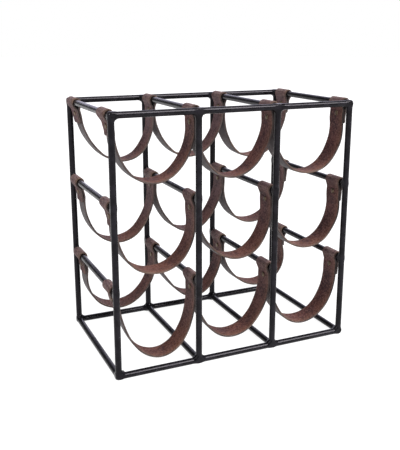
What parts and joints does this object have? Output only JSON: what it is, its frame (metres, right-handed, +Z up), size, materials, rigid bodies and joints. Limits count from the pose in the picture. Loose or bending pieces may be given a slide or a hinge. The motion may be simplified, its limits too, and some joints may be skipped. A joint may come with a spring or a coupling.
{
  "type": "wine rack",
  "caption": "Open welded frame of round black iron bar with riveted leather strap slings, front and back, that cradle wine bottles lying on their sides.",
  "frame": {"origin": "on the floor under the middle of the rack", "axes": "+Z up, -Y towards the front, +X to the right seen from the front; the depth bars run along Y"},
  "size_m": [0.3746, 0.219, 0.3678],
  "materials": {
    "iron": "satin black lacquer on hand-worked iron bar",
    "weld": "satin black lacquer over dressed weld beads",
    "leather": "dark brown oiled leather, worn lighter where it bends",
    "brass": "antique brass, dull"
  },
  "bodies": {
    "frame": {"front_bottom_rail": "iron", "front_top_rail": "iron", "back_bottom_rail": "iron", "back_top_rail": "iron", "front_upright_1": "iron", "front_upright_2": "iron", "front_upright_3": "iron", "front_upright_4": "iron", "back_upright_1": "iron", "back_upright_2": "iron", "back_upright_3": "iron", "back_upright_4": "iron", "bottom_bar_1": "iron", "bottom_bar_2": "iron", "bottom_bar_3": "iron", "bottom_bar_4": "iron", "low_bar_1": "iron", "low_bar_2": "iron", "low_bar_3": "iron", "low_bar_4": "iron", "mid_bar_1": "iron", "mid_bar_2": "iron", "mid_bar_3": "iron", "mid_bar_4": "iron", "top_bar_1": "iron", "top_bar_2": "iron", "top_bar_3": "iron", "top_bar_4": "iron", "front_bottom_welds": "weld", "front_low_welds": "weld", "front_mid_welds": "weld", "front_top_welds": "weld", "back_bottom_welds": "weld", "back_low_welds": "weld", "back_mid_welds": "weld", "back_top_welds": "weld"},
    "front_low_sling": {"front_low_strap": "leather", "front_low_rivet_posts": "brass", "front_low_rivet_caps": "brass"},
    "front_mid_sling": {"front_mid_strap": "leather", "front_mid_rivet_posts": "brass", "front_mid_rivet_caps": "brass"},
    "front_top_sling": {"front_top_strap": "leather", "front_top_rivet_posts": "brass", "front_top_rivet_caps": "brass"},
    "back_low_sling": {"back_low_strap": "leather", "back_low_rivet_posts": "brass", "back_low_rivet_caps": "brass"},
    "back_mid_sling": {"back_mid_strap": "leather", "back_mid_rivet_posts": "brass", "back_mid_rivet_caps": "brass"},
    "back_top_sling": {"back_top_strap": "leather", "back_top_rivet_posts": "brass", "back_top_rivet_caps": "brass"}
  },
  "joints": [
    {"name": "front_low_slide", "type": "slide", "parent": "frame", "child": "front_low_sling", "axis": [0, 1, 0], "range_m": [0, 0.06]},
    {"name": "front_mid_slide", "type": "slide", "parent": "frame", "child": "front_mid_sling", "axis": [0, 1, 0], "range_m": [0, 0.06]},
    {"name": "front_top_slide", "type": "slide", "parent": "frame", "child": "front_top_sling", "axis": [0, 1, 0], "range_m": [0, 0.06]},
    {"name": "back_low_slide", "type": "slide", "parent": "frame", "child": "back_low_sling", "axis": [0, -1, 0], "range_m": [0, 0.06]},
    {"name": "back_mid_slide", "type": "slide", "parent": "frame", "child": "back_mid_sling", "axis": [0, -1, 0], "range_m": [0, 0.06]},
    {"name": "back_top_slide", "type": "slide", "parent": "frame", "child": "back_top_sling", "axis": [0, -1, 0], "range_m": [0, 0.06]}
  ]
}
